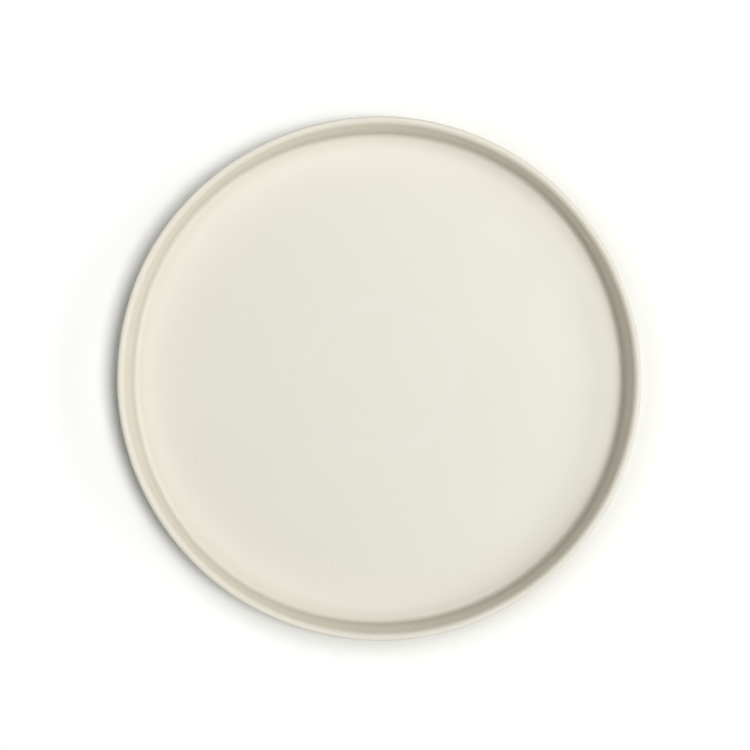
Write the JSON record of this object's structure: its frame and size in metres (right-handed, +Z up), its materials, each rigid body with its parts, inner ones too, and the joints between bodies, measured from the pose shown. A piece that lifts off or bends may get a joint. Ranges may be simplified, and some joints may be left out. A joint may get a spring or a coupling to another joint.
{
  "type": "salad plate",
  "caption": "Round plate with a flat floor, a short leaning wall, a rounded lip and a bare foot ring, satin glazed, for serving a salad or a small course.",
  "frame": {"origin": "on the table, below the plate's centre, in the plane of the foot ring's bearing face", "axes": "+Z up along the plate's axis of turning; X and Y lie anywhere in the table, because the plate is round"},
  "size_m": [0.21, 0.21, 0.02],
  "materials": {
    "stoneware": "bare fired clay, matte",
    "satin_glaze": "off-white satin glaze"
  },
  "bodies": {
    "root": {"stoneware_body": "stoneware", "glaze_coat": "satin_glaze", "recess_glaze": "satin_glaze"}
  },
  "joints": []
}
